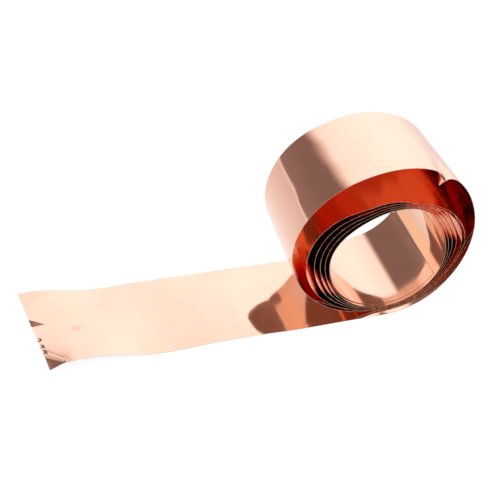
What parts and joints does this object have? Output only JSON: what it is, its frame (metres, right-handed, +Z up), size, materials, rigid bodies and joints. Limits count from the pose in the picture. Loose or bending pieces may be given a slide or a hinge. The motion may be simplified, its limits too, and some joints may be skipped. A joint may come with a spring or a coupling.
{
  "type": "copper foil strip roll",
  "caption": "Bare copper foil strip wound loosely on itself, with an open eye and a flat tail cut at a slant.",
  "frame": {"origin": "under the middle of the whole strip's box, on the surface that it rests on", "axes": "+X along the strip from the tail's free end to the roll, +Y along the roll's axis towards the side that the inner turns have drifted to, +Z up"},
  "size_m": [0.127, 0.0332, 0.0502],
  "materials": {
    "copper_foil": "polished bare copper"
  },
  "bodies": {
    "root": {"outer_turn": "copper_foil", "tail_root": "copper_foil"},
    "coil_1": {"inner_turn_1": "copper_foil"},
    "coil_2": {"inner_turn_2": "copper_foil"},
    "coil_3": {"inner_turn_3": "copper_foil"},
    "coil_4": {"inner_turn_4": "copper_foil"},
    "coil_5": {"inner_turn_5": "copper_foil"},
    "core": {"inner_turn_6": "copper_foil"},
    "inner_end": {"inner_end_leaf": "copper_foil"},
    "tail_1": {"tail_stretch_1": "copper_foil"},
    "tail_2": {"tail_stretch_2": "copper_foil"},
    "tail_3": {"tail_stretch_3": "copper_foil"},
    "tail_4": {"tail_stretch_4": "copper_foil"},
    "tail_5": {"tail_end": "copper_foil"}
  },
  "joints": [
    {"name": "tail_bend_1", "type": "hinge", "parent": "root", "child": "tail_1", "pos_m": [0.01151, -0.0016, 0.00005], "axis": [0, 1, 0], "range_deg": [0, 30]},
    {"name": "tail_bend_2", "type": "hinge", "parent": "tail_1", "child": "tail_2", "pos_m": [-0.00249, -0.0016, 0.00005], "axis": [0, 1, 0], "range_deg": [0, 30]},
    {"name": "tail_bend_3", "type": "hinge", "parent": "tail_2", "child": "tail_3", "pos_m": [-0.01649, -0.0016, 0.00008], "axis": [0, 1, 0], "range_deg": [0, 30]},
    {"name": "tail_bend_4", "type": "hinge", "parent": "tail_3", "child": "tail_4", "pos_m": [-0.03049, -0.0016, 0.00122], "axis": [0, 1, 0], "range_deg": [0, 30]},
    {"name": "tail_bend_5", "type": "hinge", "parent": "tail_4", "child": "tail_5", "pos_m": [-0.04449, -0.0016, 0.00257], "axis": [0, 1, 0], "range_deg": [0, 30]},
    {"name": "coil_shift_1", "type": "slide", "parent": "root", "child": "coil_1", "axis": [0, 1, 0], "range_m": [-0.0006, 0.0012]},
    {"name": "coil_shift_2", "type": "slide", "parent": "coil_1", "child": "coil_2", "axis": [0, 1, 0], "range_m": [-0.0006, 0.0012]},
    {"name": "coil_shift_3", "type": "slide", "parent": "coil_2", "child": "coil_3", "axis": [0, 1, 0], "range_m": [-0.0006, 0.0012]},
    {"name": "coil_shift_4", "type": "slide", "parent": "coil_3", "child": "coil_4", "axis": [0, 1, 0], "range_m": [-0.0006, 0.0012]},
    {"name": "coil_shift_5", "type": "slide", "parent": "coil_4", "child": "coil_5", "axis": [0, 1, 0], "range_m": [-0.0006, 0.0012]},
    {"name": "core_wind", "type": "hinge", "parent": "coil_5", "child": "core", "pos_m": [0.0394, 0.0007, 0.01978], "axis": [0.0708, -0.9924, -0.1009], "range_deg": [0, 4]},
    {"name": "inner_end_flap", "type": "hinge", "parent": "core", "child": "inner_end", "pos_m": [0.03938, 0.0016, 0.00213], "axis": [0.0027, -0.9991, -0.0431], "range_deg": [0, 25], "stiffness_Nm_per_rad": 0.0008}
  ],
  "couplings": [
    {"joint": "tail_bend_2", "follows": "tail_bend_1", "ratio": 1},
    {"joint": "tail_bend_3", "follows": "tail_bend_1", "ratio": 1},
    {"joint": "tail_bend_4", "follows": "tail_bend_1", "ratio": 1},
    {"joint": "tail_bend_5", "follows": "tail_bend_1", "ratio": 1},
    {"joint": "coil_shift_2", "follows": "coil_shift_1", "ratio": 1},
    {"joint": "coil_shift_3", "follows": "coil_shift_1", "ratio": 1},
    {"joint": "coil_shift_4", "follows": "coil_shift_1", "ratio": 1},
    {"joint": "coil_shift_5", "follows": "coil_shift_1", "ratio": 1}
  ]
}
